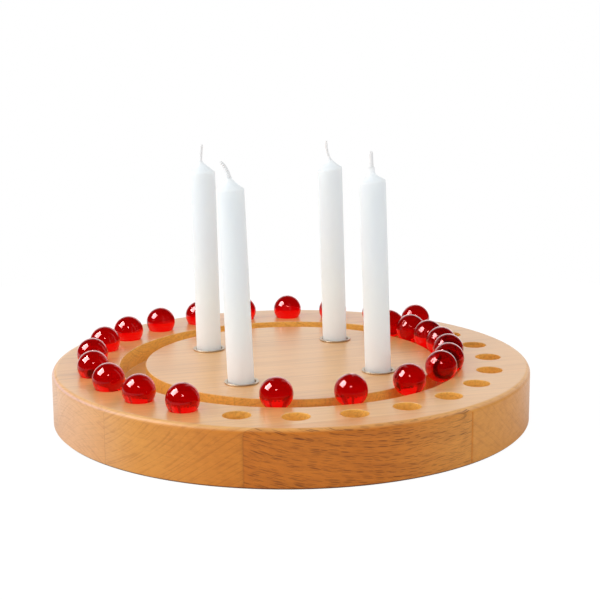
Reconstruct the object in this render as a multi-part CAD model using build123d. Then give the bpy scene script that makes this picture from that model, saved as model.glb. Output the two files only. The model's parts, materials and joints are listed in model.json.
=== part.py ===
from build123d import *
from math import asin, atan2, cos, degrees, hypot, radians, sin, sqrt
import os

# Advent candle holder: a round board with a seat for each of 24 marbles, a track in which the
# marbles of the days to come lie, and four candles in metal cups on the centre disc.
# Millimetres and degrees. The origin is the middle of the underside, +Z is up and -Y is the front.
# Places round the board are given by an angle that starts at the front and grows towards +X.

# Board
BOARD_DIAMETER = 245.0
BOARD_THICKNESS = 27.5
TOP_EDGE_ROUND = 3.0
FOOT_CHAMFER = 0.8

# Planks that the board is glued from
PLANK_COUNT = 6
FRONT_PLANK_WIDTH = 12.5    # the front and back planks are narrower than those between them
BACK_PLANK_WIDTH = 32.5
GRAIN_ANGLE = 15.0          # from +X to the planks' length

# Marbles
MARBLE_DIAMETER = 16.0
MARBLE_SINK = 3.4           # how far a marble dips below the board's top
REST_GAP = 0.15             # what lies loose stands this far off what carries it

# Seats on the rim
SEAT_COUNT = 24
SEAT_DEPTH = 8.0
RIM_LAND = 13.5             # wood between a seat and the edge of the board
EDGE_BREAK = 0.3            # sanded edge of the seats and the track
FILLED_SEATS = range(9, 23)

# Track
TRACK_DEPTH = 10.0
ROW_GAP = 4.9               # between a marble in a seat and one in the track
TRACK_FIRST_ANGLE = -6.0
TRACK_GAP_SHARES = (1.2, 1.12, 0.92, 0.07, 0.21, 0.025, 0.06, 0.03, 0.025)  # of a marble's diameter

# Candles, in the order of their corners
CORNERS = ("front_right", "back_right", "back_left", "front_left")
CANDLE_DIAMETER = 13.0
CANDLE_LENGTH = 106.6       # from the foot to the shoulder
CANDLE_LENGTH_SHARES = (1.0, 0.976, 1.0, 1.0)
SHOULDER_ROUND = 0.5
CONE_HEIGHT = 4.0
CONE_HOLLOW = 0.5           # how far the cone's side sinks below a straight line
CONE_TIP_DIAMETER = 2.6
LEAN_SHARES = (0.41, 0.31, 0.18, 0.46)      # of the most that a cup allows, towards -X

# Wicks
WICK_DIAMETER = 1.4
WICK_CLEARANCE = 0.03
WICK_FREE_LENGTH = 10.0     # above the cone
WICK_LENGTH_SHARES = (1.05, 1.2, 1.05, 0.9)
WICK_STEM_SHARE = 0.15      # of the free length, straight up before the bend
WICK_BEND_RADIUS = 5.0
WICK_BENDS = (5.0, 14.0, 3.0, 36.0)

# Cups
CUP_FIRST_ANGLE = 60.0
CUP_INSET = 25.0            # from the track's inner edge to the middle of a cup
CUP_DEPTH = 12.0
CUP_WALL = 0.5
CANDLE_CLEARANCE = 0.5      # round a candle in its cup
FLANGE_REACH = 1.0
FLANGE_THICKNESS = 0.7
FLANGE_ROUND = 0.3
CUP_FIT = 0.05              # round a cup in the board
CUP_FOOT_ROOM = 0.5         # under a cup

OVERRUN = 5.0               # how far a cutting solid reaches past what it cuts

# Worked out from the sizes above
BOARD_RADIUS = BOARD_DIAMETER / 2
INNER_PLANK_WIDTH = (BOARD_DIAMETER - FRONT_PLANK_WIDTH - BACK_PLANK_WIDTH) / (PLANK_COUNT - 2)
MARBLE_RADIUS = MARBLE_DIAMETER / 2
MARBLE_HEIGHT = BOARD_THICKNESS + MARBLE_RADIUS - MARBLE_SINK
CUTTER_RADIUS = sqrt((MARBLE_RADIUS + REST_GAP) ** 2 - (MARBLE_RADIUS - MARBLE_SINK + EDGE_BREAK) ** 2)
SEAT_RING = BOARD_RADIUS - RIM_LAND - CUTTER_RADIUS
SEAT_PITCH = 360 / SEAT_COUNT
TRACK_RING = SEAT_RING - MARBLE_DIAMETER - ROW_GAP
CANDLE_RADIUS = CANDLE_DIAMETER / 2
CUP_RING = TRACK_RING - CUTTER_RADIUS - CUP_INSET
CUP_PITCH = 360 / len(CORNERS)
CUP_BORE_RADIUS = CANDLE_RADIUS + CANDLE_CLEARANCE
CUP_RADIUS = CUP_BORE_RADIUS + CUP_WALL
CUP_FLOOR = BOARD_THICKNESS - CUP_DEPTH
MOST_LEAN = degrees(atan2(2 * CANDLE_CLEARANCE, CUP_DEPTH))


def on_ring(radius, angle, height=0):
    """A point at an angle from the front, on a circle about the board's axis."""
    turn = radians(angle)
    return Pos(radius * sin(turn), -radius * cos(turn), height)


def turned(outline):
    """Spin a closed outline, drawn as radius and height, about the Z axis."""
    face = make_face((Plane.XZ * outline).edges())
    return revolve(face, Axis.Z)


def board_blank():
    """The round board before it is cut, with its rounded top edge and chamfered foot."""
    blank = Pos(Z=BOARD_THICKNESS / 2) * Cylinder(BOARD_RADIUS, BOARD_THICKNESS)
    blank = fillet(blank.edges().filter_by(GeomType.CIRCLE).sort_by(Axis.Z)[-1], TOP_EDGE_ROUND)
    return chamfer(blank.edges().filter_by(GeomType.CIRCLE).sort_by(Axis.Z)[0], FOOT_CHAMFER)


def seat_cutter():
    """What a seat takes out of the board: a flat-bottomed hole with a broken edge."""
    top = BOARD_THICKNESS + OVERRUN
    foot = BOARD_THICKNESS - SEAT_DEPTH
    mouth = CUTTER_RADIUS + EDGE_BREAK
    outline = Polyline(
        (0, foot),
        (CUTTER_RADIUS, foot),
        (CUTTER_RADIUS, BOARD_THICKNESS - EDGE_BREAK),
        (mouth, BOARD_THICKNESS),
        (mouth, top),
        (0, top),
        close=True,
    )
    return turned(outline)


def track_cutter():
    """What the track takes out of the board: a ring with a flat floor and broken edges."""
    top = BOARD_THICKNESS + OVERRUN
    foot = BOARD_THICKNESS - TRACK_DEPTH
    shoulder = BOARD_THICKNESS - EDGE_BREAK
    inner = TRACK_RING - CUTTER_RADIUS
    outer = TRACK_RING + CUTTER_RADIUS
    outline = Polyline(
        (inner, foot),
        (outer, foot),
        (outer, shoulder),
        (outer + EDGE_BREAK, BOARD_THICKNESS),
        (outer + EDGE_BREAK, top),
        (inner - EDGE_BREAK, top),
        (inner - EDGE_BREAK, BOARD_THICKNESS),
        (inner, shoulder),
        close=True,
    )
    return turned(outline)


def cup_hole():
    """The round hole that a candle cup drops into."""
    depth = CUP_DEPTH + CUP_WALL + CUP_FOOT_ROOM
    height = depth + OVERRUN
    return Pos(Z=BOARD_THICKNESS - depth + height / 2) * Cylinder(CUP_RADIUS + CUP_FIT, height)


def cup_place(index):
    """Where a cup's axis meets the underside."""
    return on_ring(CUP_RING, CUP_FIRST_ANGLE + index * CUP_PITCH)


def cut_board():
    """The whole board with its track, seats and cup holes."""
    seats = [on_ring(SEAT_RING, seat * SEAT_PITCH) * seat_cutter() for seat in range(SEAT_COUNT)]
    holes = [cup_place(index) * cup_hole() for index in range(len(CORNERS))]
    return board_blank() - [track_cutter(), *seats, *holes]


def seam_distances():
    """How far each glue seam lies in front of the centre, the front seam first."""
    front = BOARD_RADIUS - FRONT_PLANK_WIDTH
    return [front - step * INNER_PLANK_WIDTH for step in range(PLANK_COUNT - 1)]


def planks():
    """The board parted along its seams, front plank first."""
    board = cut_board()
    past = BOARD_RADIUS + OVERRUN
    limits = [past, *seam_distances(), -past]
    height = BOARD_THICKNESS + 2 * OVERRUN
    parted = []
    for front, back in zip(limits, limits[1:]):
        slab = Pos(0, -(front + back) / 2, BOARD_THICKNESS / 2) * Box(2 * past, front - back, height)
        parted.append(board & Rot(Z=GRAIN_ANGLE) * slab)
    return parted


def marble(ring, angle):
    """A glass marble at rest in a seat or in the track."""
    return on_ring(ring, angle, MARBLE_HEIGHT) * Sphere(MARBLE_RADIUS)


def track_angles():
    """Where the marbles lie in the track: each a touching pitch and a free gap past the one before."""
    touching = degrees(2 * asin(MARBLE_RADIUS / TRACK_RING))
    angles = [TRACK_FIRST_ANGLE]
    for share in TRACK_GAP_SHARES:
        gap = degrees(share * MARBLE_DIAMETER / TRACK_RING)
        angles.append(angles[-1] + touching + gap)
    return angles


def cup():
    """A thin cup about the Z axis, with a rounded flange that lies on the board."""
    top = BOARD_THICKNESS + FLANGE_THICKNESS
    foot = CUP_FLOOR - CUP_WALL
    reach = CUP_RADIUS + FLANGE_REACH
    outline = Polyline(
        (0, foot),
        (CUP_RADIUS, foot),
        (CUP_RADIUS, BOARD_THICKNESS),
        (reach, BOARD_THICKNESS),
        (reach, top),
        (CUP_BORE_RADIUS, top),
        (CUP_BORE_RADIUS, CUP_FLOOR),
        (0, CUP_FLOOR),
        close=True,
    )
    shell = turned(outline)
    rims = shell.edges().filter_by(GeomType.CIRCLE).group_by(Axis.Z)[-1]
    return fillet(rims, FLANGE_ROUND)


def candle_place(index):
    """How a candle that is drawn on the origin stands in its cup: it leans, with its foot on the floor."""
    lean = LEAN_SHARES[index] * MOST_LEAN
    tilt = radians(lean)
    pivot = CUP_DEPTH / 2
    foot = (pivot - REST_GAP - CANDLE_RADIUS * sin(tilt)) / cos(tilt)
    return cup_place(index) * Pos(Z=CUP_FLOOR + pivot) * Rot(Y=-lean) * Pos(Z=-foot)


def candle(length):
    """A candle's wax on the origin, with its hollow cone and the bore for the wick."""
    top = length + CONE_HEIGHT
    tip = CONE_TIP_DIAMETER / 2
    bore = WICK_DIAMETER / 2 + WICK_CLEARANCE
    run = CANDLE_RADIUS - tip
    slope = hypot(run, CONE_HEIGHT)
    hollow = (
        CANDLE_RADIUS - run / 2 - CONE_HOLLOW * CONE_HEIGHT / slope,
        length + CONE_HEIGHT / 2 - CONE_HOLLOW * run / slope,
    )
    outside = Polyline((bore, 0), (CANDLE_RADIUS, 0), (CANDLE_RADIUS, length))
    cone = ThreePointArc((CANDLE_RADIUS, length), hollow, (tip, top))
    inside = Polyline((tip, top), (bore, top), (bore, 0))
    wax = turned(outside + cone + inside)
    shoulder = wax.edges().filter_by(GeomType.CIRCLE).group_by(Axis.Z)[1]
    return fillet(shoulder, SHOULDER_ROUND)


def wick(length, free, bend):
    """A wick through a candle on the origin. Its free end bends over towards -X."""
    stem_end = (0, length + CONE_HEIGHT + WICK_STEM_SHARE * free)
    stem = Line((0, 0), stem_end)
    arc = JernArc(stem_end, (0, 1), WICK_BEND_RADIUS, bend)
    rest = free * (1 - WICK_STEM_SHARE) - WICK_BEND_RADIUS * radians(bend)
    end = Line(arc @ 1, arc @ 1 + (arc % 1) * rest)
    route = Plane.XZ * (stem + arc + end)
    return sweep(Circle(WICK_DIAMETER / 2), Wire(route.edges()))


def nodes():
    """Every piece of the holder by its name."""
    found = {f"plank_{number}": plank for number, plank in enumerate(planks(), 1)}
    for index, corner in enumerate(CORNERS):
        length = CANDLE_LENGTH * CANDLE_LENGTH_SHARES[index]
        free = WICK_FREE_LENGTH * WICK_LENGTH_SHARES[index]
        found[f"cup_{corner}"] = cup_place(index) * cup()
        found[f"candle_{corner}"] = candle_place(index) * candle(length)
        found[f"wick_{corner}"] = candle_place(index) * wick(length, free, WICK_BENDS[index])
    for number, seat in enumerate(FILLED_SEATS, 1):
        found[f"seat_marble_{number:02d}"] = marble(SEAT_RING, seat * SEAT_PITCH)
    for number, angle in enumerate(track_angles(), 1):
        found[f"track_marble_{number:02d}"] = marble(TRACK_RING, angle)
    return found


os.makedirs("parts", exist_ok=True)
for name, solid in nodes().items():
    export_step(solid, f"parts/{name}.step")
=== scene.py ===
"""An advent candle holder: a round beech board with red glass marbles and four white candles.

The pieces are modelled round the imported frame, in metres. The front of the board faces -Y.
"""
import json
import random
from math import atan2, ceil, cos, radians, sin, tan, tau
from typing import NamedTuple

import bpy
from bpy.props import FloatProperty, FloatVectorProperty, IntProperty, PointerProperty
from mathutils import Matrix, Quaternion, Vector

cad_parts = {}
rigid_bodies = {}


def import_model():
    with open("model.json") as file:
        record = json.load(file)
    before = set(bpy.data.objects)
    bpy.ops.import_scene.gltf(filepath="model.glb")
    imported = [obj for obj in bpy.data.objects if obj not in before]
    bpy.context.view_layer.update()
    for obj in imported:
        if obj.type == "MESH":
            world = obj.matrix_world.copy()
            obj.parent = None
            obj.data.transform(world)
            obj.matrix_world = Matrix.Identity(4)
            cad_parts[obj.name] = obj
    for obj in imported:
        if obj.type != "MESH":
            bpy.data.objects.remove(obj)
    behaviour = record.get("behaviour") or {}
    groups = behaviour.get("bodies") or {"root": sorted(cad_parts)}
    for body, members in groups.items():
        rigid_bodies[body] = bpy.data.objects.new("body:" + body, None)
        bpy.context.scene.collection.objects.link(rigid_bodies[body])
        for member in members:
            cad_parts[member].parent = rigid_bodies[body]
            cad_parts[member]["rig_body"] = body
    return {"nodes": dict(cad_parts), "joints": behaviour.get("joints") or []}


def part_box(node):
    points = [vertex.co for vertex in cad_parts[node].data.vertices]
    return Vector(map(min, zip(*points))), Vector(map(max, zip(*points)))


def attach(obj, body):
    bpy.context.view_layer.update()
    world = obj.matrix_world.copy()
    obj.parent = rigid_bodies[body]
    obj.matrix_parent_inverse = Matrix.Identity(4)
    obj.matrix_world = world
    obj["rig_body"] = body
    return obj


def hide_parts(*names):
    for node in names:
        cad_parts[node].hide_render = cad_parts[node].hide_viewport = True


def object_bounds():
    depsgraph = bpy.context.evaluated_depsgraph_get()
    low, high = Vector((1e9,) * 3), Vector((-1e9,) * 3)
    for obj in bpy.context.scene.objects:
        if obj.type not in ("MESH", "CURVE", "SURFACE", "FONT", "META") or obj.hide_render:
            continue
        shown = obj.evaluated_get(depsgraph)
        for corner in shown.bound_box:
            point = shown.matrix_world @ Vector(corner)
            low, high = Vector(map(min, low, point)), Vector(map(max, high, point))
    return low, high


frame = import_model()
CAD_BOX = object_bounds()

bl_info = {
    "name": "Advent candle holder",
    "version": (1, 0, 0),
    "blender": (4, 5, 0),
    "location": "View3D > Sidebar > Candle holder",
    "description": "Models a beech board with marbles and candles round its packed frame",
    "category": "Object",
}

MM = 0.001
PLANKS = sorted(name for name in frame["nodes"] if name.startswith("plank_"))
MARBLES = sorted(name for name in frame["nodes"] if "_marble_" in name)
CORNERS = [name.removeprefix("cup_") for name in frame["nodes"] if name.startswith("cup_")]
BOARD_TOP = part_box(PLANKS[0])[1].z
BOARD_RADIUS = -CAD_BOX[0].x


def box_middle(node):
    """The middle of a node's box."""
    low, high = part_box(node)
    return (low + high) / 2


def ring_radius(node):
    """How far a node's middle lies from the board's axis."""
    return box_middle(node).xy.length


def box_width(node):
    """A node's width along X."""
    low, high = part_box(node)
    return high.x - low.x


# Sizes and colours that a user would change

def length(label, about, millimetres):
    """A size, given here in millimetres and kept in metres."""
    return FloatProperty(
        name=label, description=about, default=millimetres * MM, subtype="DISTANCE", unit="LENGTH"
    )


def share(label, about, value):
    """A plain number from 0 to 1."""
    return FloatProperty(name=label, description=about, default=value, min=0, max=1, subtype="FACTOR")


def turn(label, about, degrees):
    """An angle, given here in degrees."""
    return FloatProperty(name=label, description=about, default=radians(degrees), subtype="ANGLE")


def amount(label, about, value):
    """A number with no unit of its own, such as a light's strength."""
    return FloatProperty(name=label, description=about, default=value)


def count(label, about, value):
    """How many there are of something."""
    return IntProperty(name=label, description=about, default=value)


def colour(label, about, red, green, blue):
    """A linear colour."""
    return FloatVectorProperty(
        name=label, description=about, default=(red, green, blue, 1), size=4, min=0, max=1, subtype="COLOR"
    )


class BoardSettings(bpy.types.PropertyGroup):
    """The glued board with its seats, track and cup holes."""

    edge_round: length("Top edge", "Round on the top edge of the rim", 3.0)
    foot_chamfer: length("Foot chamfer", "Chamfer round the underside", 0.8)
    soft_edge: length("Sanded edge", "Round on the edges of the seats and the track", 0.4)
    floor_round: length("Floor corner", "Round where the track's wall meets its floor", 0.5)
    seat_count: count("Seats", "Seats on the rim", 24)
    seat_radius: length("Seat radius", "Radius of a seat below its sanded edge", 6.51)
    seat_depth: length("Seat depth", "Depth of a seat", 8.0)
    track_depth: length("Track depth", "Depth of the track", 10.0)
    hole_fit: length("Hole fit", "Room round a cup in its hole", 0.05)
    hole_room: length("Hole room", "Room under a cup in its hole", 0.5)
    grain_angle: turn("Grain", "Angle of the planks' length from +X", 15.0)


class WoodSettings(bpy.types.PropertyGroup):
    """Oiled beech."""

    pale: colour("Pale wood", "Wood between the growth rings", 0.69, 0.235, 0.028)
    ring: colour("Ring", "Late wood, at the end of a growth ring", 0.53, 0.165, 0.020)
    fleck: colour("Fleck", "Rays cut across", 0.25, 0.075, 0.011)
    ring_width: length("Ring width", "Growth in a year", 2.0)
    fleck_length: length("Fleck spacing", "Spacing of the rays along the grain", 7.5)
    fleck_height: length("Fleck height", "Spacing of the rays across the grain", 0.6)
    gloss: share("Roughness", "Roughness of the sawn and sanded rim", 0.32)
    polish: share("Polish", "Roughness of the polished top", 0.32)


class CupSettings(bpy.types.PropertyGroup):
    """The thin metal cups."""

    wall: length("Wall", "Thickness of the metal", 0.5)
    flange_reach: length("Flange", "How far the flange reaches past the wall", 1.0)
    flange_height: length("Flange height", "Height of the rolled flange", 0.7)
    metal: colour("Metal", "Colour of the metal", 0.78, 0.66, 0.52)
    mark: colour("Turning mark", "Colour of the metal in a turning mark", 0.62, 0.57, 0.5)


class CandleSettings(bpy.types.PropertyGroup):
    """The wax of the candles."""

    radius: length("Radius", "Radius of a candle", 6.5)
    cone_height: length("Cone", "Height of the cone round the wick", 4.0)
    cone_hollow: length("Hollow", "How far the cone's side sinks below a straight line", 0.25)
    shoulder_round: length("Shoulder", "Round on the shoulder", 1.2)
    unevenness: length("Unevenness", "How far the drawn wax strays from round", 0.12)
    swell: length("Swell", "Size of the swellings in the drawn wax", 14.0)
    scatter: length("Scatter", "How far light travels in the wax", 9.0)
    wax: colour("Wax", "Colour of the wax", 0.81, 0.87, 0.925)
    # Painted light: the wax near the cup is whiter and bluer, standing in for light on the candles' feet
    foot: colour("Foot", "Colour of the wax near the cup", 0.88, 0.965, 1.0)


class WickSettings(bpy.types.PropertyGroup):
    """The plaited cotton wicks."""

    strand_share: share("Strand", "Share of a wick's radius that one strand takes", 0.58)
    strands: count("Strands", "Strands in a wick", 3)
    lay: length("Lay", "Length of one turn of a strand", 3.2)
    inset: length("Inset", "Wax below the wick's lower end", 0.5)
    cotton: colour("Cotton", "Colour of the cotton", 0.89, 0.90, 0.91)
    fibre: colour("Fibre", "Colour of the fibres that the wax left white", 0.96, 0.97, 0.97)
    smudge: colour("Smudge", "Colour of the grey smudges", 0.45, 0.42, 0.38)


class MarbleSettings(bpy.types.PropertyGroup):
    """The red glass marbles."""

    unevenness: length("Unevenness", "How far the pressed glass strays from round", 0.02)
    swell: length("Swell", "Size of the swellings in the pressed glass", 7.0)
    glass: colour("Glass", "Colour of light that has passed through", 0.53, 0.0004, 0.0006)
    ripple: colour("Ripple", "Colour of the deeper streaks in the glass", 0.46, 0.0003, 0.0005)


class StageSettings(bpy.types.PropertyGroup):
    """The camera, the floor and the lights."""

    azimuth: turn("Azimuth", "Camera's place round the board, from the front", -1.5)
    elevation: turn("Elevation", "Camera's height above the horizon", 11.94)
    roll: turn("Roll", "Camera's turn about its own axis", -0.38)
    distance: length("Distance", "Camera to its target", 713.4)
    lens: amount("Lens", "Focal length in millimetres", 83.24)
    floor_radius: length("Floor", "Radius of the round floor", 400.0)
    floor_drop: length("Floor drop", "How far the floor lies below the board", 0.1)
    sky: amount("Sky", "Light from straight above", 0.65)
    horizon: amount("Horizon", "Light from the sides and from behind", 1.55)
    front: amount("Front", "Light from the horizon in front", 0.75)
    lamp_distance: length("Lamp distance", "Camera's target to the soft lights", 1300.0)
    key_power: amount("Key", "Power of the soft light on the left", 5.9)
    key_size: length("Key size", "Side of the soft light on the left", 1200.0)
    fill_power: amount("Fill", "Power of the soft light on the right", 1.7)
    fill_size: length("Fill size", "Side of the soft light on the right", 800.0)
    pane_distance: length("Pane distance", "Camera's target to the window and the small light", 1200.0)
    spot_glow: amount("Spot", "Brightness of the small light in clear glass", 40.0)
    spot_haze: amount("Spot haze", "Brightness of the small light in duller gloss", 0.0)
    spot_size: length("Spot size", "Side of the small light", 165.0)
    window_glow: amount("Window", "Brightness of the window in clear glass", 32.0)
    window_haze: amount("Window haze", "Brightness of the window in duller gloss", 6.0)
    window_size: length("Window size", "Side of the square window", 780.0)


# Modelling helpers

MERGE_REACH = MM / 1000
# Angles in degrees past which an edge stays crisp, and levels of the noise at which a surface stays in place
EDGE_ANGLE = 35
WAX_ANGLE = 50
ROUND_ANGLE = 60
WAX_LEVEL = 0.5
GLASS_LEVEL = 0.7


def settle(piece):
    """Make one object the only selected and active one."""
    if bpy.context.object and bpy.context.object.mode != "OBJECT":
        bpy.ops.object.mode_set(mode="OBJECT")
    bpy.ops.object.select_all(action="DESELECT")
    piece.select_set(True)
    bpy.context.view_layer.objects.active = piece


def arc(middle, radius, start, end, steps):
    """Points of an arc in radius and height. The angles are in degrees from outwards to up."""
    points = []
    for step in range(steps + 1):
        angle = radians(start + (end - start) * step / steps)
        points.append((middle[0] + radius * cos(angle), middle[1] + radius * sin(angle)))
    return points


def lathe(name, outline, steps):
    """Extrude one vertex along a half outline of radius and height, then spin it about Z."""
    bpy.ops.object.select_all(action="DESELECT")
    bpy.ops.mesh.primitive_plane_add(size=1)
    piece = bpy.context.object
    piece.name = name
    bpy.ops.object.mode_set(mode="EDIT")
    bpy.ops.mesh.select_all(action="SELECT")
    bpy.ops.mesh.merge(type="CENTER")
    bpy.ops.transform.translate(value=(outline[0][0], 0, outline[0][1]))
    for here, there in zip(outline, outline[1:]):
        step = (there[0] - here[0], 0, there[1] - here[1])
        bpy.ops.mesh.extrude_vertices_move(TRANSFORM_OT_translate={"value": step})
    bpy.ops.mesh.select_all(action="SELECT")
    bpy.ops.mesh.spin(steps=steps, angle=tau, center=(0, 0, 0), axis=(0, 0, 1))
    bpy.ops.mesh.select_all(action="SELECT")
    bpy.ops.mesh.remove_doubles(threshold=MERGE_REACH)
    bpy.ops.mesh.normals_make_consistent(inside=False)
    bpy.ops.object.mode_set(mode="OBJECT")
    return piece


def copy_of(piece, name, place):
    """A copy with its own mesh, moved by a matrix that goes into the mesh."""
    settle(piece)
    bpy.ops.object.duplicate()
    made = bpy.context.object
    made.name = name
    made.data.transform(place)
    return made


def discard(piece):
    """Delete an object that only helped to make others."""
    settle(piece)
    bpy.ops.object.delete()


def apply_modifier(piece, kind, **settings):
    """Add a modifier, set it up and apply it."""
    settle(piece)
    modifier = piece.modifiers.new(kind.title(), kind)
    for key, value in settings.items():
        setattr(modifier, key, value)
    bpy.ops.object.modifier_apply(modifier=modifier.name)


def swell(piece, look, level):
    """Let a piece swell and shrink a little. Where the noise is at the level, the surface stays in place."""
    texture = bpy.data.textures.new("swell", "CLOUDS")
    texture.noise_scale = look.swell
    depth = look.unevenness
    apply_modifier(
        piece, "DISPLACE", texture=texture, texture_coords="LOCAL", strength=depth, mid_level=level
    )


def smooth(piece, degrees=EDGE_ANGLE):
    """Smooth shading, with edges sharper than the angle kept crisp."""
    settle(piece)
    bpy.ops.object.shade_smooth_by_angle(angle=radians(degrees))


def stand_for(piece, node, finish):
    """Let a finished piece take a node's place, body and material slot."""
    piece.data.materials.clear()
    piece.data.materials.append(finish)
    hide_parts(node)
    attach(piece, frame["nodes"][node]["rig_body"])


# Shader helpers

class Socket:
    """A shader socket that can stand in a sum: each operator adds its Math node."""

    def __init__(self, finish, link):
        self.finish = finish
        self.link = link

    def math(self, operation, *others):
        return self.finish.math(operation, self, *others)

    def __add__(self, other):
        return self.math("ADD", other)

    def __sub__(self, other):
        return self.math("SUBTRACT", other)

    def __rsub__(self, other):
        return self.finish.math("SUBTRACT", other, self)

    def __mul__(self, other):
        return self.math("MULTIPLY", other)

    def __truediv__(self, other):
        return self.math("DIVIDE", other)

    def __pow__(self, other):
        return self.math("POWER", other)

    def __abs__(self):
        return self.math("ABSOLUTE")

    __radd__ = __add__
    __rmul__ = __mul__


class Finish:
    """A node tree that is built up by expressions."""

    def __init__(self, tree):
        self.tree = tree

    def node(self, kind, settings=None, sockets=None, output=0):
        """Add a node, set it up, then fill its sockets with values or links."""
        made = self.tree.nodes.new(kind)
        for key, value in (settings or {}).items():
            setattr(made, key, value)
        for key, value in (sockets or {}).items():
            self.feed(made.inputs[key], value)
        return Socket(self, made.outputs[output])

    def feed(self, target, value):
        """Link a socket, or give it a plain value."""
        if isinstance(value, Socket):
            self.tree.links.new(value.link, target)
        else:
            target.default_value = value

    def math(self, operation, *values):
        return self.node("ShaderNodeMath", {"operation": operation}, dict(enumerate(values)))

    def split(self, vector):
        """The three parts of a vector."""
        first = self.node("ShaderNodeSeparateXYZ", None, {"Vector": vector})
        return [Socket(self, output) for output in first.link.node.outputs]

    def join(self, x, y, z):
        return self.node("ShaderNodeCombineXYZ", None, {"X": x, "Y": y, "Z": z})

    def noise(self, vector, scale=1.0, detail=2.0):
        """A cloudy value about a half."""
        return self.node("ShaderNodeTexNoise", None, {"Vector": vector, "Scale": scale, "Detail": detail})

    def ramp(self, value, low, high, first=0.0, last=1.0):
        """Ease a value from one level to another between two limits."""
        sockets = {"Value": value, "From Min": low, "From Max": high, "To Min": first, "To Max": last}
        return self.node("ShaderNodeMapRange", {"interpolation_type": "SMOOTHSTEP"}, sockets)

    def mix(self, factor, first, second, blend="MIX"):
        """Mix two colours."""
        settings = {"data_type": "RGBA", "blend_type": blend}
        return self.node("ShaderNodeMix", settings, {0: factor, 6: first, 7: second}, 2)

    def bump(self, height, strength, distance):
        """A normal that follows a height."""
        sockets = {"Height": height, "Strength": strength, "Distance": distance}
        return self.node("ShaderNodeBump", None, sockets)


class Surface(Finish):
    """A material with one Principled shader."""

    def __init__(self, name):
        self.material = bpy.data.materials.new(name)
        self.material.use_nodes = True
        super().__init__(self.material.node_tree)
        self.shader = self.tree.nodes["Principled BSDF"]

    def place(self):
        """Object coordinates in millimetres."""
        spot = self.node("ShaderNodeTexCoord", output="Object")
        return self.node("ShaderNodeVectorMath", {"operation": "SCALE"}, {0: spot, "Scale": 1 / MM})

    def set(self, **sockets):
        """Fill the shader's sockets, whose names are written with underscores."""
        for key, value in sockets.items():
            self.feed(self.shader.inputs[key.replace("_", " ")], value)


class Loop(NamedTuple):
    """Where a ring breaks the surface in a loop, in millimetres: its place along the plank and above the
    underside, and half its length and height."""

    along: float
    height: float
    half_length: float
    half_height: float


class PlankLook(NamedTuple):
    """How one plank was sawn: its heart's place in front of the axis and above the underside in millimetres,
    the tint of its wood, how plain its rings and its rays show, the bow of its fibres per millimetre, the
    share of its tint that is lost to the right, and its loop, if it has one."""

    heart: tuple
    tint: tuple
    ring_share: float
    fleck_share: float
    bow: float = 0.0
    fade_share: float = 0.0
    loop: Loop = None


FRONT_LOOP = Loop(45.0, 24.7, 4.8, 1.6)
PLANK_LOOKS = {
    "plank_1": PlankLook((62.0, 6.0), (0.91, 0.80, 0.65, 1), 0.1, 0.8, 0.0018, 0.85, FRONT_LOOP),
    "plank_2": PlankLook((35.0, 62.0), (0.98, 0.985, 1.0, 1), 0.55, 0.12),
    "plank_3": PlankLook((28.0, -38.0), (1.0, 0.98, 0.96, 1), 0.45, 0.2),
    "plank_4": PlankLook((-20.0, -30.0), (0.97, 0.95, 0.93, 1), 0.8, 0.3),
    "plank_5": PlankLook((-66.0, 52.0), (1.0, 1.0, 1.0, 1), 0.8, 0.3),
    "plank_6": PlankLook((-180.0, 12.0), (0.98, 0.96, 0.92, 1), 0.3, 0.5),
}
# Painted light, sheen and shade, multiplied into the wood's colour by where a face points: the top is paler
# with painted sheen. The cut faces of the seats and the track are lighter with painted light. The planks' ends
# are lighter with painted light and sheen, most of all on the left with painted sheen. The chamfer underneath
# is darker with painted shade.
TOP_PAINTED_SHEEN = (1.34, 2.16, 6.5, 1)
CUT_PAINTED_LIGHT = (1.52, 2.55, 4.6, 1)
FOOT_PAINTED_SHADE = (0.45, 0.45, 0.5, 1)
END_PAINTED_LIGHT = (1.16, 1.6, 3.0, 1)
LEFT_PAINTED_SHEEN = (1.0, 1.25, 3.0, 1)
# Lengths in millimetres over which the wood changes along the grain, across it and upwards
SWAY = (140, 40, 40)
WANDER = (22, 9, 7)
PORES = (9, 0.35, 0.35)
STREAKS = (60, 2.4, 2.4)
CLOUDS = (90, 22, 22)
# Lengths in millimetres over which the rings and the rows of rays change along the grain and round the heart
UNEVEN_RINGS = (160, 60)
BROKEN_RINGS = (50, 6)
RAY_ROWS = (60, 1.7)
# How far in millimetres the sway shifts the rings sideways and upwards, and the wander shifts the rays
SWAY_SIDE = 5
SWAY_RISE = 3
WANDER_SHIFT = 3
# Places in millimetres along the grain between which the late wood, the seams, the rays and the tint change
LATE_SPAN = (60, -40)
SEAM_SPAN = (0, 40)
RAY_SPAN = (-10, 85)
TINT_SPAN = (-10, 65)
BOW_END = 25
# Distances in millimetres: from the rim to where the cut faces start, and across half a seam
RIM_BAND = (4, 5)
SEAM_EDGE = (0.3, 0.05)
WOOD_RELIEF = 0.06 * MM


def plank_limits(node, normal):
    """How far in front of the board's axis a plank starts and ends."""
    reach = [vertex.co.dot(normal) for vertex in frame["nodes"][node].data.vertices]
    return min(reach), max(reach)


def is_seam(limit):
    """Whether a plank ends at a neighbour there, and not at the rim."""
    return abs(limit) < BOARD_RADIUS - MM


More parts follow.
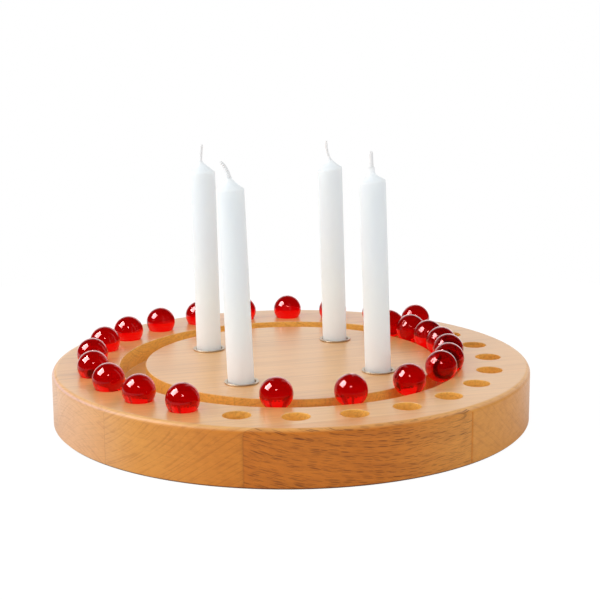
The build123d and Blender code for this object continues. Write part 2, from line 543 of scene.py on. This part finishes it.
def beech(node, seams):
    """Oiled beech for one plank, with rings round the plank's own heart, rays and pores."""
    look = bpy.context.scene.holder_wood
    board = bpy.context.scene.holder_board
    wood = Surface(f"beech_{node}")
    sawn = PLANK_LOOKS[node]
    sockets = {"Vector": wood.place(), "Angle": -board.grain_angle}
    turned = wood.node("ShaderNodeVectorRotate", {"rotation_type": "Z_AXIS"}, sockets)
    along, back, height = wood.split(turned)
    ahead = 0 - back
    up = height - (along - BOW_END) ** 2 * sawn.bow

    def figure(lengths, detail):
        """A value that changes over these lengths of the plank."""
        return wood.noise(wood.join(along / lengths[0], ahead / lengths[1], up / lengths[2]), detail=detail)

    sway = figure(SWAY, 1.0) - 0.5
    wander = figure(WANDER, 1.0) - 0.5
    side = ahead - sawn.heart[0] + sway * SWAY_SIDE
    rise = up - sawn.heart[1] + sway * SWAY_RISE
    radius = (side * side + rise * rise) ** 0.5
    around = wood.math("ARCTAN2", rise, side) * radius

    years = radius / (look.ring_width / MM)
    uneven = wood.noise(wood.join(years * 0.7, along / UNEVEN_RINGS[0], around / UNEVEN_RINGS[1]))
    phase = wood.math("FRACT", years + uneven * 3)
    broken = wood.noise(wood.join(along / BROKEN_RINGS[0], around / BROKEN_RINGS[1], years * 0.9))
    late = wood.ramp(phase, 0.6, 0.94) * wood.ramp(phase, 1.0, 0.95) * wood.ramp(broken, 0.3, 0.6)
    late = late * wood.ramp(along, *LATE_SPAN, 0.6, 1.0)

    facing = wood.split(wood.node("ShaderNodeNewGeometry", output="Normal"))
    top = wood.ramp(facing[2], 0.9, 0.99)
    shifted = around + wander * WANDER_SHIFT
    spots = wood.join(along / (look.fleck_length / MM), shifted / (look.fleck_height / MM), 0.0)
    cells = wood.node("ShaderNodeTexVoronoi", {"voronoi_dimensions": "2D"}, {"Vector": spots, "Scale": 1.0})
    chosen = wood.split(Socket(wood, cells.link.node.outputs["Color"]))[0]
    rows = wood.noise(wood.join(along / RAY_ROWS[0], (around + wander) / RAY_ROWS[1], 0.0))
    rows = wood.ramp(rows, 0.38, 0.66) * (1 - top)
    fleck = wood.ramp(cells / (chosen * 0.8 + 0.5), 0.34, 0.2) * (1 - top) * (rows * 0.6 + 0.4)

    if sawn.loop:
        reach = (along - sawn.loop.along) / sawn.loop.half_length
        lift = (height - sawn.loop.height) / sawn.loop.half_height
        edge = wood.ramp(abs((reach * reach + lift * lift) ** 0.5 - 1), 0.28, 0.06)
        fleck = wood.math("MAXIMUM", fleck, edge * wood.ramp(reach, -0.9, 0.2) * (1 - top) * 0.7)

    pores = figure(PORES, 2.0)
    streak = figure(STREAKS, 2.0)
    cloud = figure(CLOUDS, 1.0)

    outward = (facing[0] * facing[0] + facing[1] * facing[1]) ** 0.5 + 0.001
    slant = (facing[0] * cos(board.grain_angle) + facing[1] * sin(board.grain_angle)) / outward
    over = wood.ramp(facing[2], 0.4, 0.95)
    # Where the painted light and sheen on the planks' ends lie, and the stronger painted sheen on the left end
    ends = wood.ramp(slant, 0.0, 0.45) * 0.7 + wood.ramp(slant, -0.45, -0.95)
    left_sheen = wood.ramp(slant, -0.75, -1.0)
    across = (along * along + ahead * ahead) ** 0.5
    inner = wood.ramp(across, BOARD_RADIUS / MM - RIM_BAND[0], BOARD_RADIUS / MM - RIM_BAND[1])
    seam = sum(wood.ramp(abs(ahead - limit / MM), *SEAM_EDGE) for limit in seams if is_seam(limit))
    seam = seam * wood.ramp(along, *SEAM_SPAN, 1.0, 0.2)
    speck = wood.noise(wood.place(), scale=0.8)

    calm = 1 - wood.ramp(abs(slant), 0.3, 0.9) * 0.7
    shade = (late * sawn.ring_share + (streak - 0.5) * 1.7 * calm + (cloud - 0.5) * 0.6) * (1 - top * 0.3)
    grain = wood.mix(wood.ramp(shade, -0.4, 0.9), look.pale, look.ring)
    rays = (fleck + rows * 0.25) * wood.ramp(along, *RAY_SPAN, 1.0, 0.8)
    grain = wood.mix(rays * sawn.fleck_share, grain, look.fleck)
    grain = wood.mix(wood.ramp(speck, 0.46, 0.7) * inner * (1 - over) * 0.25, grain, look.fleck)
    grain = wood.mix(wood.ramp(pores, 0.56, 0.8) * 0.28 * calm, grain, look.fleck)
    kept = wood.ramp(along, *TINT_SPAN, 1.0, 1 - sawn.fade_share)
    grain = wood.mix(kept, grain, wood.mix(1.0, grain, sawn.tint, "MULTIPLY"))
    # Painted sheen on the top, painted light on the cut faces and the ends, painted sheen on the left end and
    # painted shade on the chamfer
    tints = (
        (over, TOP_PAINTED_SHEEN),
        (inner * (1 - over), CUT_PAINTED_LIGHT),
        (ends * (1 - inner) * (1 - over), END_PAINTED_LIGHT),
        (left_sheen * (1 - inner) * (1 - over), LEFT_PAINTED_SHEEN),
        (wood.ramp(facing[2], -0.3, -0.6), FOOT_PAINTED_SHADE),
    )
    for cover, tint in tints:
        grain = wood.mix(cover, grain, wood.mix(1.0, grain, tint, "MULTIPLY"))
    grain = wood.mix(seam * 0.22, grain, look.fleck)
    relief = pores * 0.5 - fleck * 0.6 - late * 0.2
    wood.set(
        Base_Color=grain,
        Roughness=look.gloss + (streak - 0.5) * 0.12 + fleck * 0.1,
        Normal=wood.bump(relief, 0.25, WOOD_RELIEF),
        IOR=1.5,
        Specular_IOR_Level=0.3,
        Coat_Weight=top * 0.7,
        Coat_Roughness=look.polish,
        Coat_IOR=1.5,
    )
    return wood.material


def cup_metal():
    """Bright spun metal with fine turning marks."""
    look = bpy.context.scene.holder_cup
    metal = Surface("spun_metal")
    marks = metal.noise(metal.place(), scale=0.9, detail=3.0)
    metal.set(
        Base_Color=metal.mix(metal.ramp(marks, 0.3, 0.7) * 0.3, look.metal, look.mark),
        Metallic=1.0,
        Roughness=0.3 + marks * 0.2,
    )
    return metal.material


# Widths and heights in millimetres over which the wax changes, and the heights between which the painted light
# at its foot fades
WAX_CLOUD = (5, 14)
WAX_SKIN = (1.2, 3)
FOOT_LIGHT_SPAN = (90, 30)
FINE_RELIEF = 0.1 * MM


def candle_wax():
    """Cool white wax, a little cloudy, with painted light that makes it whiter and bluer towards the foot, and
    a soft shine.
    """
    look = bpy.context.scene.holder_candle
    wax = Surface("white_wax")
    x, y, z = wax.split(wax.place())
    cloud = wax.noise(wax.join(x / WAX_CLOUD[0], y / WAX_CLOUD[0], z / WAX_CLOUD[1]))
    skin = wax.noise(wax.join(x / WAX_SKIN[0], y / WAX_SKIN[0], z / WAX_SKIN[1]))
    # Where the painted light at the foot lies, fading upwards
    foot = wax.ramp(z, *FOOT_LIGHT_SPAN)
    wax.set(
        Base_Color=wax.mix(wax.ramp(cloud, 0.35, 0.75) * 0.2 + foot * 0.8, look.wax, look.foot),
        Roughness=0.50 + (skin - 0.5) * 0.2,
        Specular_IOR_Level=0.2,
        Subsurface_Weight=1.0,
        Subsurface_Radius=(1.0, 1.0, 1.0),
        Subsurface_Scale=look.scatter,
        Normal=wax.bump(skin + cloud, 0.15, FINE_RELIEF),
    )
    return wax.material


def wick_cotton():
    """Waxed cotton, with fine fibres and a few grey smudges."""
    look = bpy.context.scene.holder_wick
    cotton = Surface("waxed_cotton")
    fibres = cotton.noise(cotton.place(), scale=4.0, detail=3.0)
    smudge = cotton.noise(cotton.place(), scale=0.45, detail=1.0)
    pale = cotton.mix(cotton.ramp(fibres, 0.35, 0.7), look.cotton, look.fibre)
    cotton.set(
        Base_Color=cotton.mix(cotton.ramp(smudge, 0.55, 0.7) * 0.12, pale, look.smudge),
        Roughness=0.75,
        Normal=cotton.bump(fibres, 0.5, FINE_RELIEF),
    )
    return cotton.material


def red_glass():
    """Clear red glass with a faint ripple."""
    look = bpy.context.scene.holder_marble
    glass = Surface("red_glass")
    ripple = glass.noise(glass.place(), scale=0.12, detail=1.0)
    glass.set(
        Base_Color=glass.mix(ripple * 0.3, look.glass, look.ripple),
        Roughness=0.0,
        IOR=1.5,
        Transmission_Weight=1.0,
        Specular_Tint=(1.0, 0.4, 0.4, 1),
    )
    return glass.material


# The operators, one for each group of like pieces

# Steps round the turned pieces and along their rounds, and the degrees at which two of the rounds stop
BOARD_STEPS = 360
TOOL_STEPS = 64
CUP_STEPS = 96
CANDLE_STEPS = 72
ROUND_STEPS = 4
SHOULDER_STEPS = 5
MOUTH_STEPS = 6
EDGE_STEPS = 10
FLARE_END = 100
SHOULDER_END = 60


class HOLDER_OT_board(bpy.types.Operator):
    """Model the board once, cut its seats, track and holes, then part it into planks"""

    bl_idname = "holder.board"
    bl_label = "Board"

    def execute(self, context):
        look = context.scene.holder_board
        blank = self.blank(look)
        tools = self.seat_tools(look) + self.hole_tools(look)
        settle(tools[0])
        for tool in tools:
            tool.select_set(True)
        bpy.ops.object.join()
        apply_modifier(blank, "BOOLEAN", object=tools[0], operation="DIFFERENCE", solver="EXACT")
        discard(tools[0])
        for node in PLANKS:
            self.plank(look, blank, node)
        discard(blank)
        return {"FINISHED"}

    def blank(self, look):
        """The turned board with its track."""
        track = ring_radius("track_marble_01")
        inner = track - look.seat_radius
        outer = track + look.seat_radius
        floor = BOARD_TOP - look.track_depth
        soft = look.soft_edge
        corner = look.floor_round
        outline = [(0, 0), (BOARD_RADIUS - look.foot_chamfer, 0), (BOARD_RADIUS, look.foot_chamfer)]
        edge = look.edge_round
        outline += arc((BOARD_RADIUS - edge, BOARD_TOP - edge), edge, 0, 90, EDGE_STEPS)
        outline += arc((outer + soft, BOARD_TOP - soft), soft, 90, 180, ROUND_STEPS)
        outline += arc((outer - corner, floor + corner), corner, 0, -90, ROUND_STEPS)
        outline += arc((inner + corner, floor + corner), corner, -90, -180, ROUND_STEPS)
        outline += arc((inner - soft, BOARD_TOP - soft), soft, 0, 90, ROUND_STEPS)
        outline.append((0, BOARD_TOP))
        return lathe("board_blank", outline, BOARD_STEPS)

    def seat_tools(self, look):
        """A cutter for each seat, with a flare that leaves a sanded edge."""
        soft = look.soft_edge
        above = BOARD_TOP + look.seat_depth
        mouth = look.seat_radius + soft
        outline = [(0, BOARD_TOP - look.seat_depth), (look.seat_radius, BOARD_TOP - look.seat_depth)]
        outline += arc((mouth, BOARD_TOP - soft), soft, 180, FLARE_END, ROUND_STEPS)
        outline += [(mouth + soft, BOARD_TOP + soft / 10), (mouth + soft, above), (0, above)]
        tool = lathe("seat_tool", outline, TOOL_STEPS)
        ring = ring_radius("seat_marble_01")
        tools = []
        for seat in range(look.seat_count):
            angle = tau * seat / look.seat_count
            place = Matrix.Translation((ring * sin(angle), -ring * cos(angle), 0))
            tools.append(copy_of(tool, f"seat_tool_{seat}", place))
        discard(tool)
        return tools

    def hole_tools(self, look):
        """A plain cutter for each cup's hole."""
        flange = bpy.context.scene.holder_cup.flange_reach
        tools = []
        for corner in CORNERS:
            low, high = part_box(f"cup_{corner}")
            radius = (high.x - low.x) / 2 - flange + look.hole_fit
            foot = low.z - look.hole_room
            outline = [(0, foot), (radius, foot), (radius, high.z), (0, high.z)]
            tool = lathe(f"hole_tool_{corner}", outline, TOOL_STEPS)
            middle = box_middle(f"cup_{corner}")
            tool.data.transform(Matrix.Translation((middle.x, middle.y, 0)))
            tools.append(tool)
        return tools

    def plank(self, look, blank, node):
        """Cut one plank out of the board along its two seams."""
        normal = Vector((sin(look.grain_angle), -cos(look.grain_angle), 0))
        rear, front = plank_limits(node, normal)
        piece = copy_of(blank, f"{node}_wood", Matrix.Identity(4))
        bpy.ops.object.mode_set(mode="EDIT")
        for limit, side in ((front, normal), (rear, -normal)):
            if not is_seam(limit):
                continue
            bpy.ops.mesh.select_all(action="SELECT")
            bpy.ops.mesh.bisect(
                plane_co=normal * limit, plane_no=side, use_fill=True, clear_outer=True, threshold=MERGE_REACH
            )
        bpy.ops.object.mode_set(mode="OBJECT")
        smooth(piece)
        apply_modifier(piece, "WEIGHTED_NORMAL", keep_sharp=True)
        stand_for(piece, node, beech(node, (front, rear)))


class HOLDER_OT_cups(bpy.types.Operator):
    """Spin one metal cup with its rolled flange and set a copy in each hole"""

    bl_idname = "holder.cups"
    bl_label = "Cups"

    def execute(self, context):
        look = context.scene.holder_cup
        low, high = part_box(f"cup_{CORNERS[0]}")
        reach = (high.x - low.x) / 2
        outer = reach - look.flange_reach
        bore = outer - look.wall
        half = look.flange_height / 2
        outline = [(0, low.z), (outer - look.wall, low.z)]
        outline += arc((outer - look.wall, low.z + look.wall), look.wall, -90, 0, ROUND_STEPS)
        outline += [(outer, BOARD_TOP)]
        outline += arc((reach - half, BOARD_TOP + half), half, -90, 90, EDGE_STEPS)
        outline += arc((bore + look.wall, high.z - look.wall), look.wall, 90, 180, MOUTH_STEPS)
        outline += arc((bore - look.wall, low.z + 2 * look.wall), look.wall, 0, -90, ROUND_STEPS)
        outline.append((0, low.z + look.wall))
        cup = lathe("cup", outline, CUP_STEPS)
        smooth(cup)
        finish = cup_metal()
        for corner in CORNERS:
            middle = box_middle(f"cup_{corner}")
            piece = copy_of(cup, f"cup_{corner}_metal", Matrix.Translation((middle.x, middle.y, 0)))
            stand_for(piece, f"cup_{corner}", finish)
        discard(cup)
        return {"FINISHED"}


def candle_stand(corner):
    """The matrix that stands a candle drawn on the origin in its cup, and the candle's length."""
    joint = next(row for row in frame["joints"] if row["name"] == f"lift_candle_{corner}")
    axis = Vector(joint["axis"]).normalized()
    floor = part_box(f"cup_{corner}")[0].z + bpy.context.scene.holder_cup.wall
    pivot = box_middle(f"cup_{corner}")
    pivot.z = (floor + BOARD_TOP) / 2
    heights = [vertex.co.dot(axis) for vertex in frame["nodes"][f"candle_{corner}"].data.vertices]
    foot = pivot + axis * (min(heights) - pivot.dot(axis))
    lean = atan2(-axis.x, axis.z)
    return Matrix.Translation(foot) @ Matrix.Rotation(-lean, 4, "Y"), max(heights) - min(heights)


class CandleTop(NamedTuple):
    """How one candle's top was left by the drawing and dipping of the wax, in millimetres and degrees: how
    much its shoulder was raised, how much lower the shoulder's left lies than its right, how far the tip lies
    to the left and was raised, the wax that climbs the wick and its radius there, the wick's radius, its free
    length, and its lean to the left at the wax and at the tip."""

    lift: float
    drop: float
    shift: float
    rise: float
    collar: float
    neck: float
    wick: float
    free: float
    lean: float
    tip_lean: float


CANDLE_TOPS = {
    "front_right": CandleTop(1.2, 1.2, 0.2, 0.0, 3.4, 1.45, 1.05, 11.1, 0.5, 0.5),
    "back_right": CandleTop(2.4, 1.4, -0.4, 2.5, 0.4, 0.8, 0.7, 10.4, 26.0, -4.0),
    "back_left": CandleTop(0.8, 0.4, 0.8, 1.6, 0.4, 0.85, 0.7, 8.9, -4.0, -7.0),
    "front_left": CandleTop(0.3, 0.2, 0.2, 0.2, 1.2, 1.3, 1.2, 9.4, 7.0, 38.0),
}
# Rows of faces along a candle's side, its cone and its collar, and how far down the shoulder's tilt reaches
SIDE_ROWS = 40
CONE_ROWS = 10
COLLAR_ROWS = 5
TILT_REACH = 12 * MM
# The cone's foot in radii of the neck, and the ways in which its side sinks inwards and down
FLARE_SHARE = 1.2
SINK_SHARES = (0.6, 0.8)
# The collar's rounded end in radii of the neck: the radius and height of its edge, and its middle's height
CAP_SHARES = (0.7, 0.25, 0.3)


class HOLDER_OT_candles(bpy.types.Operator):
    """Spin each candle, then let its wax stray a little from round"""

    bl_idname = "holder.candles"
    bl_label = "Candles"

    def execute(self, context):
        look = context.scene.holder_candle
        finish = candle_wax()
        for corner in CORNERS:
            place, tall = candle_stand(corner)
            piece = self.wax(look, corner, tall)
            piece.data.transform(place)
            smooth(piece, WAX_ANGLE)
            stand_for(piece, f"candle_{corner}", finish)
        return {"FINISHED"}

    def wax(self, look, corner, tall):
        """One candle on the origin, with its cone and its uneven shoulder."""
        left = CANDLE_TOPS[corner]
        shoulder = tall - look.cone_height + left.lift * MM
        edge = look.shoulder_round
        outline = [(0, 0), (look.radius - edge, 0)]
        outline += arc((look.radius - edge, edge), edge, -90, 0, ROUND_STEPS)
        for step in range(1, SIDE_ROWS):
            outline.append((look.radius, edge + (shoulder - 2 * edge) * step / SIDE_ROWS))
        outline += arc((look.radius - edge, shoulder - edge), edge, 0, SHOULDER_END, SHOULDER_STEPS)
        start = outline[-1]
        neck = left.neck * MM
        end = (neck * FLARE_SHARE, tall + left.rise * MM)
        for step in range(1, CONE_ROWS):
            part = step / CONE_ROWS
            sink = look.cone_hollow * 4 * part * (1 - part)
            outline.append((
                start[0] + (end[0] - start[0]) * part - sink * SINK_SHARES[0],
                start[1] + (end[1] - start[1]) * part - sink * SINK_SHARES[1],
            ))
        top = end[1] + left.collar * MM
        for step in range(1, COLLAR_ROWS + 1):
            part = step / COLLAR_ROWS
            outline.append((neck + (end[0] - neck) * (1 - part) ** 2, end[1] + (top - end[1]) * part))
        outline += [(neck * CAP_SHARES[0], top + neck * CAP_SHARES[1]), (0, top + neck * CAP_SHARES[2])]
        piece = lathe(f"candle_{corner}_wax", outline, CANDLE_STEPS)
        self.settle_top(look, piece, left, shoulder, end[1])
        swell(piece, look, WAX_LEVEL)
        return piece

    def settle_top(self, look, piece, left, shoulder, tip):
        """Tilt the shoulder and shift the cone's tip."""
        for vertex in piece.data.vertices:
            spot = vertex.co
            near = max(0, 1 - max(0, shoulder - spot.z) / TILT_REACH) ** 2
            side = max(-1, min(1, spot.x / look.radius))
            high = max(0, spot.z - shoulder + look.shoulder_round) / (tip - shoulder + look.shoulder_round)
            spot.x -= left.shift * MM * min(1, high)
            spot.x -= max(0, spot.z - tip) * tan(radians(left.lean))
            spot.z += left.drop * MM / 2 * side * near


# Points in one turn of a strand, and the share of its radius that it keeps at its end
LAY_POINTS = 10
END_SHARE = 0.7


class HOLDER_OT_wicks(bpy.types.Operator):
    """Lay the strands of each plaited wick along its candle's axis and its bent end"""

    bl_idname = "holder.wicks"
    bl_label = "Wicks"

    def execute(self, context):
        look = context.scene.holder_wick
        finish = wick_cotton()
        for corner in CORNERS:
            place, tall = candle_stand(corner)
            strands = [self.strand(look, corner, tall, number) for number in range(look.strands)]
            settle(strands[0])
            for strand in strands:
                strand.select_set(True)
            bpy.ops.object.join()
            piece = strands[0]
            piece.name = f"wick_{corner}_cotton"
            piece.data.transform(place)
            smooth(piece, ROUND_ANGLE)
            stand_for(piece, f"wick_{corner}", finish)
        return {"FINISHED"}

    def route(self, corner, tall, run):
        """A point of the wick's middle line, a distance from the candle's foot, and its direction."""
        top = CANDLE_TOPS[corner]
        tip = tall + top.rise * MM
        if run <= tip:
            return Vector((-top.shift * MM * (run / tip) ** 2, 0, run)), 0.0
        lean = radians(top.lean)
        bend = radians(top.tip_lean - top.lean) / (top.free * MM)
        angle = lean + bend * (run - tip)
        x = -sin(lean) * (run - tip)
        z = cos(lean) * (run - tip)
        if bend:
            x = (cos(angle) - cos(lean)) / bend
            z = (sin(angle) - sin(lean)) / bend
        return Vector((x - top.shift * MM, 0, tip + z)), angle

    def strand(self, look, corner, tall, number):
        """One strand, wound round the middle line."""
        top = CANDLE_TOPS[corner]
        whole = tall + (top.rise + top.free) * MM
        steps = ceil(whole / look.lay * LAY_POINTS)
        bpy.ops.object.select_all(action="DESELECT")
        bpy.ops.curve.primitive_nurbs_path_add()
        made = bpy.context.object
        line = made.data
        spline = line.splines[0]
        spline.points.add(steps + 1 - len(spline.points))
        thick = top.wick * MM * look.strand_share
        swing = top.wick * MM - thick
        for step, point in enumerate(spline.points):
            run = look.inset + (whole - look.inset) * step / steps
            middle, angle = self.route(corner, tall, run)
            around = tau * (run / look.lay + number / look.strands)
            across = Vector((cos(angle), 0, -sin(angle))) * cos(around) * swing
            point.co = (*(middle + across + Vector((0, sin(around) * swing, 0))), 1)
            point.radius = 1.0 if whole - run > look.lay / 4 else END_SHARE
        spline.use_endpoint_u = True
        line.dimensions = "3D"
        line.bevel_depth = thick
        line.bevel_resolution = 2
        line.resolution_u = 2
        line.use_fill_caps = True
        settle(made)
        bpy.ops.object.convert(target="MESH")
        return bpy.context.object


MARBLE_LEVELS = 5
MARBLE_SEED = 24


class HOLDER_OT_marbles(bpy.types.Operator):
    """Press one glass marble and lay a turned copy wherever the frame holds one"""

    bl_idname = "holder.marbles"
    bl_label = "Marbles"

    def execute(self, context):
        look = context.scene.holder_marble
        bpy.ops.object.select_all(action="DESELECT")
        bpy.ops.mesh.primitive_ico_sphere_add(subdivisions=MARBLE_LEVELS, radius=box_width(MARBLES[0]) / 2)
        marble = bpy.context.object
        swell(marble, look, GLASS_LEVEL)
        smooth(marble, ROUND_ANGLE)
        finish = red_glass()
        draw = random.Random(MARBLE_SEED)
        for node in MARBLES:
            turned = Quaternion([draw.gauss(0, 1) for part in range(4)]).normalized().to_matrix().to_4x4()
            place = Matrix.Translation(box_middle(node)) @ turned
            stand_for(copy_of(marble, f"{node}_glass", place), node, finish)
        discard(marble)
        return {"FINISHED"}


FLOOR_STEPS = 96
# Places in millimetres from front to back between which the floor turns white for gloss
BEHIND_SPAN = (-60, 60)
# The floor's glow, and the share of it that the camera sees
FLOOR_GLOW = 1.08
SEEN_SHARE = 0.88
# Strengths of the surroundings: through glass, mirrored in front, and mirrored behind in clear glass
THROUGH_GLOW = 1.6
FRONT_GLOW = 0.03
CLEAR_GLOW = 1.8
# Shares of the horizon's light that come from the left, from the right and from below the floor
LEFT_SHARE = 1.1
RIGHT_SHARE = 0.68
BELOW_SHARE = 0.4
WHITE = (1, 1, 1, 1)
PAPER = (0.8, 0.8, 0.8, 1)
CAMERA_TARGET = Vector((4.8 * MM, -0.13 * MM, 58.95 * MM))
# The ways from the camera's target to the lights
WINDOW_WAY = Vector((-0.742, -0.105, 0.664))
KEY_WAY = Vector((-0.80, -0.35, 0.45))
FILL_WAY = Vector((0.70, -0.55, 0.45))
SPOT_WAY = Vector((-0.02, -0.80, 0.60))


class HOLDER_OT_stage(bpy.types.Operator):
    """Set up the camera, the pale floor, the surroundings and the lights"""

    bl_idname = "holder.stage"
    bl_label = "Stage"

    def execute(self, context):
        look = context.scene.holder_stage
        context.scene.view_settings.view_transform = "Standard"
        self.camera(context, look)
        self.floor(look)
        self.surroundings(context, look)
        key = KEY_WAY.normalized() * look.lamp_distance
        self.lamp("soft_key", key, look.key_size, look.key_power)
        fill = FILL_WAY.normalized() * look.lamp_distance
        self.lamp("soft_fill", fill, look.fill_size, look.fill_power)
        window = WINDOW_WAY.normalized() * look.pane_distance
        self.pane("window", window, look.window_size, look.window_glow, look.window_haze)
        spot = SPOT_WAY.normalized() * look.pane_distance
        self.pane("spot", spot, look.spot_size, look.spot_glow, look.spot_haze)
        return {"FINISHED"}

    def camera(self, context, look):
        """The camera, on its arc round the target."""
        away = Vector((
            sin(look.azimuth) * cos(look.elevation),
            -cos(look.azimuth) * cos(look.elevation),
            sin(look.elevation),
        ))
        bpy.ops.object.camera_add(location=CAMERA_TARGET + away * look.distance)
        camera = context.object
        camera.rotation_mode = "QUATERNION"
        camera.rotation_quaternion = (-away).to_track_quat("-Z", "Y") @ Quaternion((0, 0, 1), look.roll)
        camera.data.lens = look.lens
        context.scene.camera = camera

    def floor(self, look):
        """A round pale floor. The camera sees it nearly white, with a faint shadow, and gloss sees it white
        behind the board."""
        bpy.ops.object.select_all(action="DESELECT")
        place = (0, 0, -look.floor_drop)
        bpy.ops.mesh.primitive_circle_add(
            vertices=FLOOR_STEPS, radius=look.floor_radius, fill_type="NGON", location=place
        )
        floor = bpy.context.object
        floor.name = "floor"
        paper = Surface("white_paper")
        paper.set(Base_Color=PAPER, Roughness=0.9, Specular_IOR_Level=0.0)
        glow = paper.node("ShaderNodeEmission", None, {"Color": WHITE, "Strength": FLOOR_GLOW})
        path = paper.node("ShaderNodeLightPath").link.node.outputs
        behind = paper.ramp(paper.split(paper.place())[1], *BEHIND_SPAN)
        seen = Socket(paper, path["Is Camera Ray"]) * SEEN_SHARE
        lit = seen + Socket(paper, path["Is Glossy Ray"]) * behind
        shader = Socket(paper, paper.shader.outputs[0])
        mixed = paper.node("ShaderNodeMixShader", None, {0: lit, 1: shader, 2: glow})
        paper.feed(paper.tree.nodes["Material Output"].inputs["Surface"], mixed)
        floor.data.materials.append(paper.material)

    def surroundings(self, context, look):
        """White all round for the camera, and brighter through glass. As light it is strongest at the horizon,
        beside and behind the board, and gloss sees it white only behind the board."""
        world = bpy.data.worlds.new("white_room")
        world.use_nodes = True
        context.scene.world = world
        room = Finish(world.node_tree)
        way = room.split(room.node("ShaderNodeTexCoord", output="Generated"))
        path = room.node("ShaderNodeLightPath").link.node.outputs
        seen = Socket(room, path["Is Camera Ray"])
        through = Socket(room, path["Is Transmission Ray"])
        gloss = Socket(room, path["Is Glossy Ray"]) * (1 - seen) * (1 - through)
        clear = Socket(room, path["Is Singular Ray"])
        hazy = room.ramp(way[1], 0.3, 0.85) * (1 - clear)
        backdrop = hazy + room.ramp(way[1], 0.72, 0.9) * clear * CLEAR_GLOW
        mirrored = FRONT_GLOW + backdrop * room.ramp(way[2], 0.75, 0.35)
        plain = 1 - gloss - seen - through
        high = room.ramp(way[2], -0.1, 0.8)
        side = room.ramp(way[0], -0.5, 0.6, look.horizon * LEFT_SHARE, look.horizon * RIGHT_SHARE)
        low = room.ramp(way[1], -1.0, -0.3, look.front, side)
        low = low * room.ramp(way[2], -0.2, 0.02, BELOW_SHARE, 1.0)
        light = high * look.sky + (1 - high) * low
        strength = seen + through * THROUGH_GLOW + gloss * mirrored + plain * light
        background = world.node_tree.nodes["Background"]
        background.inputs["Color"].default_value = WHITE
        room.feed(background.inputs["Strength"], strength)

    def pane(self, name, way, size, glow, haze):
        """A bright square that only gloss sees, brighter in clear glass than in duller gloss."""
        bpy.ops.object.select_all(action="DESELECT")
        turned = (-way).to_track_quat("-Z", "Y").to_euler()
        bpy.ops.mesh.primitive_plane_add(size=size, location=CAMERA_TARGET + way, rotation=turned)
        pane = bpy.context.object
        pane.name = name
        shine = Surface(f"{name}_shine")
        clear = shine.node("ShaderNodeLightPath", output="Is Singular Ray")
        strength = haze + clear * (glow - haze)
        emission = shine.node("ShaderNodeEmission", None, {"Color": WHITE, "Strength": strength})
        shine.feed(shine.tree.nodes["Material Output"].inputs["Surface"], emission)
        pane.data.materials.append(shine.material)
        pane.visible_camera = False
        pane.visible_diffuse = False
        pane.visible_transmission = False
        pane.visible_shadow = False

    def lamp(self, name, way, size, power):
        """A square light that lights surfaces and isn't mirrored in them."""
        bpy.ops.object.light_add(type="AREA", location=CAMERA_TARGET + way)
        lamp = bpy.context.object
        lamp.name = name
        lamp.rotation_mode = "QUATERNION"
        lamp.rotation_quaternion = (-way).to_track_quat("-Z", "Y")
        lamp.data.shape = "SQUARE"
        lamp.data.size = size
        lamp.data.energy = power
        lamp.visible_camera = False
        lamp.visible_glossy = False


class HOLDER_PT_panel(bpy.types.Panel):
    """Lists the pieces of the candle holder"""

    bl_idname = "HOLDER_PT_panel"
    bl_label = "Candle holder"
    bl_space_type = "VIEW_3D"
    bl_region_type = "UI"
    bl_category = "Candle holder"

    def draw(self, context):
        for operator in OPERATORS:
            self.layout.operator(operator.bl_idname)


OPERATORS = (
    HOLDER_OT_stage,
    HOLDER_OT_board,
    HOLDER_OT_cups,
    HOLDER_OT_candles,
    HOLDER_OT_wicks,
    HOLDER_OT_marbles,
)
SETTINGS = {
    "holder_board": BoardSettings,
    "holder_wood": WoodSettings,
    "holder_cup": CupSettings,
    "holder_candle": CandleSettings,
    "holder_wick": WickSettings,
    "holder_marble": MarbleSettings,
    "holder_stage": StageSettings,
}


def register():
    for group in (*SETTINGS.values(), *OPERATORS, HOLDER_PT_panel):
        bpy.utils.register_class(group)
    for name, group in SETTINGS.items():
        setattr(bpy.types.Scene, name, PointerProperty(type=group))


def unregister():
    for name in SETTINGS:
        delattr(bpy.types.Scene, name)
    for group in reversed((*SETTINGS.values(), *OPERATORS, HOLDER_PT_panel)):
        bpy.utils.unregister_class(group)


def main():
    register()
    bpy.ops.holder.stage()
    bpy.ops.holder.board()
    bpy.ops.holder.cups()
    bpy.ops.holder.candles()
    bpy.ops.holder.wicks()
    bpy.ops.holder.marbles()


if __name__ == "__main__":
    main()
